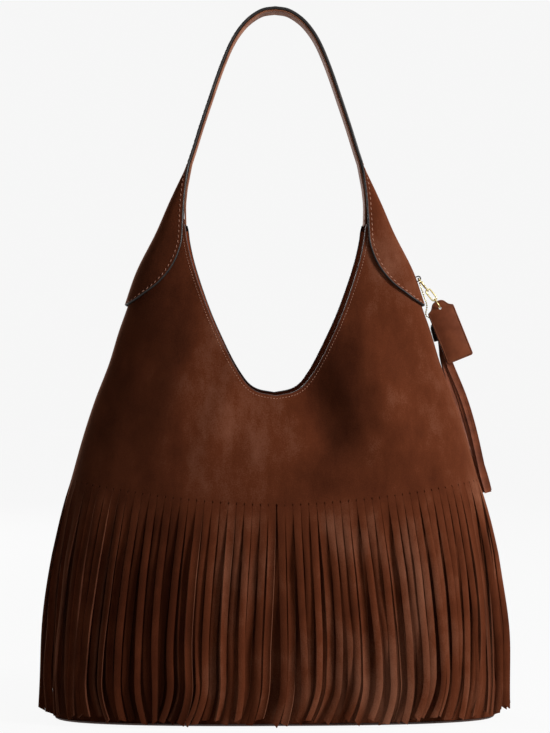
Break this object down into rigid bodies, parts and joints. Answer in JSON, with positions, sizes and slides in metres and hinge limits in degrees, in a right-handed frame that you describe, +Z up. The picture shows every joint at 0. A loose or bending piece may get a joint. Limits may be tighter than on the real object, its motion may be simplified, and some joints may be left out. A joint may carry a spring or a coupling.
{
  "type": "fringed shoulder bag",
  "caption": "Soft suede shoulder bag with a deep V mouth, one arched strap, long slit fringe all round, a hang tag and a tassel charm.",
  "frame": {"origin": "centre of the base, on the surface that the bag stands on", "axes": "+Z up to the strap, +X to the side with the hang tag, -Y out of the front panel"},
  "size_m": [0.4176, 0.1414, 0.626],
  "materials": {
    "suede": "matt brushed nap",
    "smooth_leather": "matt smooth",
    "tan_leather": "matt smooth",
    "dark_leather": "satin painted",
    "tag_leather": "satin smooth",
    "lining_cloth": "matt woven",
    "brass": "polished"
  },
  "bodies": {
    "bag": {"front_panel": "suede", "back_panel": "suede", "front_wall": "suede", "back_wall": "suede", "base_panel": "smooth_leather", "lining": "lining_cloth", "pocket": "lining_cloth", "front_facing": "smooth_leather", "back_facing": "smooth_leather", "snap_front": "brass", "snap_back": "brass", "strap": "suede", "strap_lining": "tan_leather", "side_loop": "dark_leather"},
    "clasp": {"clasp_hook": "brass"},
    "gate": {"clasp_gate": "brass"},
    "link": {"link": "brass"},
    "ring": {"tag_ring": "brass"},
    "tag": {"hang_tag": "tag_leather"},
    "tassel": {"chain_ring": "brass", "bead_chain": "brass", "tassel_cap": "dark_leather", "tassel_strips": "suede"}
  },
  "joints": [
    {"name": "clasp_swing", "type": "hinge", "parent": "bag", "child": "clasp", "pos_m": [0.1262, -0.008, 0.387], "axis": [0, -1, 0], "range_deg": [0, 30]},
    {"name": "gate_press", "type": "hinge", "parent": "clasp", "child": "gate", "pos_m": [0.13025, -0.0111, 0.38191], "axis": [-0.7826, 0, -0.6225], "range_deg": [0, 18], "stiffness_Nm_per_rad": 0.0005},
    {"name": "link_swing", "type": "hinge", "parent": "clasp", "child": "link", "pos_m": [0.13504, -0.008, 0.37589], "axis": [0, -1, 0], "range_deg": [0, 30]},
    {"name": "ring_swing", "type": "hinge", "parent": "link", "child": "ring", "pos_m": [0.14027, -0.008, 0.36931], "axis": [0, -1, 0], "range_deg": [0, 25]},
    {"name": "tag_swing", "type": "hinge", "parent": "ring", "child": "tag", "pos_m": [0.14546, -0.008, 0.361], "axis": [0, -1, 0], "range_deg": [0, 26]},
    {"name": "tassel_swing", "type": "hinge", "parent": "clasp", "child": "tassel", "pos_m": [0.12882, -0.0046, 0.38371], "axis": [0, -1, 0], "range_deg": [0, 25]}
  ]
}
